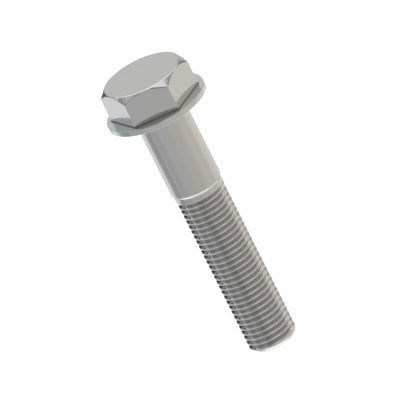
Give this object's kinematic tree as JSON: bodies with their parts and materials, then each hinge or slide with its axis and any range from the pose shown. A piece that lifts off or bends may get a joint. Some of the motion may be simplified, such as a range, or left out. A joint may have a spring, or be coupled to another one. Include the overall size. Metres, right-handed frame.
{
  "type": "flange bolt",
  "caption": "Hex-head flange bolt with a plain shank, a short relieved neck and a fine right-hand thread with a chamfered end.",
  "frame": {"origin": "centre of the flange's bearing face, on the bolt's axis", "axes": "+Z along the axis from the bearing face towards the head's top face; -Y is the outward normal of one wrench flat"},
  "size_m": [0.0224, 0.0224, 0.0673],
  "materials": {
    "steel": "bright, smooth, lightly polished steel"
  },
  "bodies": {
    "root": {"bolt": "steel"}
  },
  "joints": []
}
